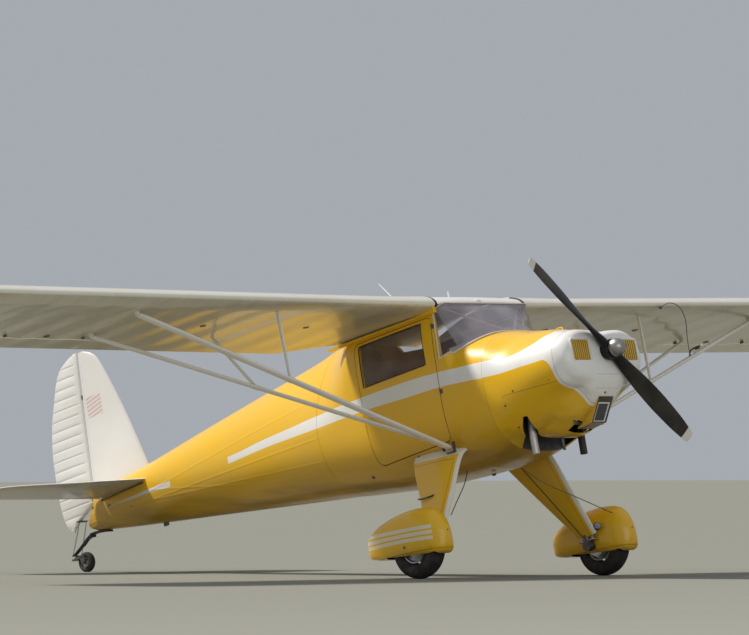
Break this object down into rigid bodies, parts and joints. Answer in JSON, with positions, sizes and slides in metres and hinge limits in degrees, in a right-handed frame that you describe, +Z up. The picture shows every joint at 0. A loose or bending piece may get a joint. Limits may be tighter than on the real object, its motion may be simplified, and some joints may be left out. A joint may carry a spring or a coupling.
{
  "type": "light aircraft",
  "caption": "Two-seat high-wing light aircraft on a tail wheel, with strut-braced wings, wheel fairings, hinged doors, moving control surfaces and a turning propeller.",
  "frame": {"origin": "middle of the bounding box in plan, on the ground under the parked aircraft", "axes": "+X to the left along the span, +Y aft, +Z up; the nose points to -Y and sits pitched up on its main wheels and tail wheel"},
  "size_m": [10.67, 6.0603, 2.3045],
  "materials": {
    "yellow_paint": "gloss paint",
    "white_paint": "gloss paint",
    "cream_fabric": "doped and painted, glossy",
    "strut_paint": "gloss paint",
    "black_paint": "satin paint",
    "tyre_rubber": "matt",
    "bare_metal": "satin",
    "dark_steel": "satin",
    "clear_sheet": "clear, hazed by age",
    "trim_cloth": "woven",
    "engine_casting": "cast"
  },
  "bodies": {
    "airframe": {"cabin_shell": "yellow_paint", "cowling": "yellow_paint", "cooling_grille_left": "yellow_paint", "cooling_grille_right": "yellow_paint", "gear_leg_left": "yellow_paint", "gear_leg_right": "yellow_paint", "wheel_fairing_left": "yellow_paint", "wheel_fairing_right": "yellow_paint", "tail_cone": "yellow_paint", "nose_bowl": "white_paint", "whip_antenna": "white_paint", "wing_left": "cream_fabric", "wing_right": "cream_fabric", "cabin_roof": "cream_fabric", "fin": "cream_fabric", "tailplane": "cream_fabric", "lift_struts_left": "strut_paint", "lift_struts_right": "strut_paint", "air_intake": "black_paint", "instrument_panel": "black_paint", "control_sticks": "black_paint", "exhaust_left": "bare_metal", "exhaust_right": "bare_metal", "cabin_brace": "bare_metal", "tail_spring": "dark_steel", "windscreen": "clear_sheet", "cabin_floor": "trim_cloth", "seat_bench": "trim_cloth", "engine_block": "engine_casting"},
    "propeller": {"propeller": "black_paint", "spinner": "bare_metal"},
    "wheel_left": {"tyre_left": "tyre_rubber", "wheel_left": "bare_metal"},
    "wheel_right": {"tyre_right": "tyre_rubber", "wheel_right": "bare_metal"},
    "tail_fork": {"tail_fork": "dark_steel"},
    "tail_wheel": {"tail_wheel": "tyre_rubber"},
    "aileron_left": {"aileron_left": "cream_fabric"},
    "aileron_right": {"aileron_right": "cream_fabric"},
    "elevator": {"elevator": "cream_fabric"},
    "rudder": {"rudder": "cream_fabric"},
    "door_left": {"door_left": "yellow_paint", "door_window_left": "clear_sheet"},
    "door_right": {"door_right": "yellow_paint", "door_window_right": "clear_sheet"}
  },
  "joints": [
    {"name": "propeller_spin", "type": "hinge", "parent": "airframe", "child": "propeller", "pos_m": [0, -2.8387, 1.6491], "axis": [0, -0.9686, 0.2488], "continuous": true},
    {"name": "wheel_left_spin", "type": "hinge", "parent": "airframe", "child": "wheel_left", "pos_m": [0.967, -1.85274, 0.22195], "axis": [1, 0, 0], "continuous": true},
    {"name": "wheel_right_spin", "type": "hinge", "parent": "airframe", "child": "wheel_right", "pos_m": [-0.967, -1.85274, 0.22195], "axis": [1, 0, 0], "continuous": true},
    {"name": "tail_wheel_steer", "type": "hinge", "parent": "airframe", "child": "tail_fork", "pos_m": [0, 2.77926, 0.10288], "axis": [0, 0.2968, 0.9549], "range_deg": [-35, 35]},
    {"name": "tail_wheel_spin", "type": "hinge", "parent": "tail_fork", "child": "tail_wheel", "pos_m": [0, 2.67116, 0.07593], "axis": [1, 0, 0], "continuous": true},
    {"name": "aileron_left_hinge", "type": "hinge", "parent": "airframe", "child": "aileron_left", "pos_m": [3.855, -0.52085, 1.7656], "axis": [0.9999, 0.003, 0.0118], "range_deg": [-20, 20]},
    {"name": "aileron_right_hinge", "type": "hinge", "parent": "airframe", "child": "aileron_right", "pos_m": [-3.855, -0.52085, 1.7656], "axis": [0.9999, -0.003, -0.0118], "range_deg": [-20, 20]},
    {"name": "elevator_hinge", "type": "hinge", "parent": "airframe", "child": "elevator", "pos_m": [0, 2.42765, 0.56694], "axis": [1, 0, 0], "range_deg": [-40, 9]},
    {"name": "rudder_hinge", "type": "hinge", "parent": "airframe", "child": "rudder", "pos_m": [0, 2.53488, 0.2689], "axis": [0, 0.1727, 0.985], "range_deg": [-28, 28]},
    {"name": "door_left_hinge", "type": "hinge", "parent": "airframe", "child": "door_left", "pos_m": [0.514, -1.61996, 1.30509], "axis": [0, -0.2128, -0.9771], "range_deg": [0, 62]},
    {"name": "door_right_hinge", "type": "hinge", "parent": "airframe", "child": "door_right", "pos_m": [-0.514, -1.61996, 1.30509], "axis": [0, 0.2128, 0.9771], "range_deg": [0, 62]}
  ]
}
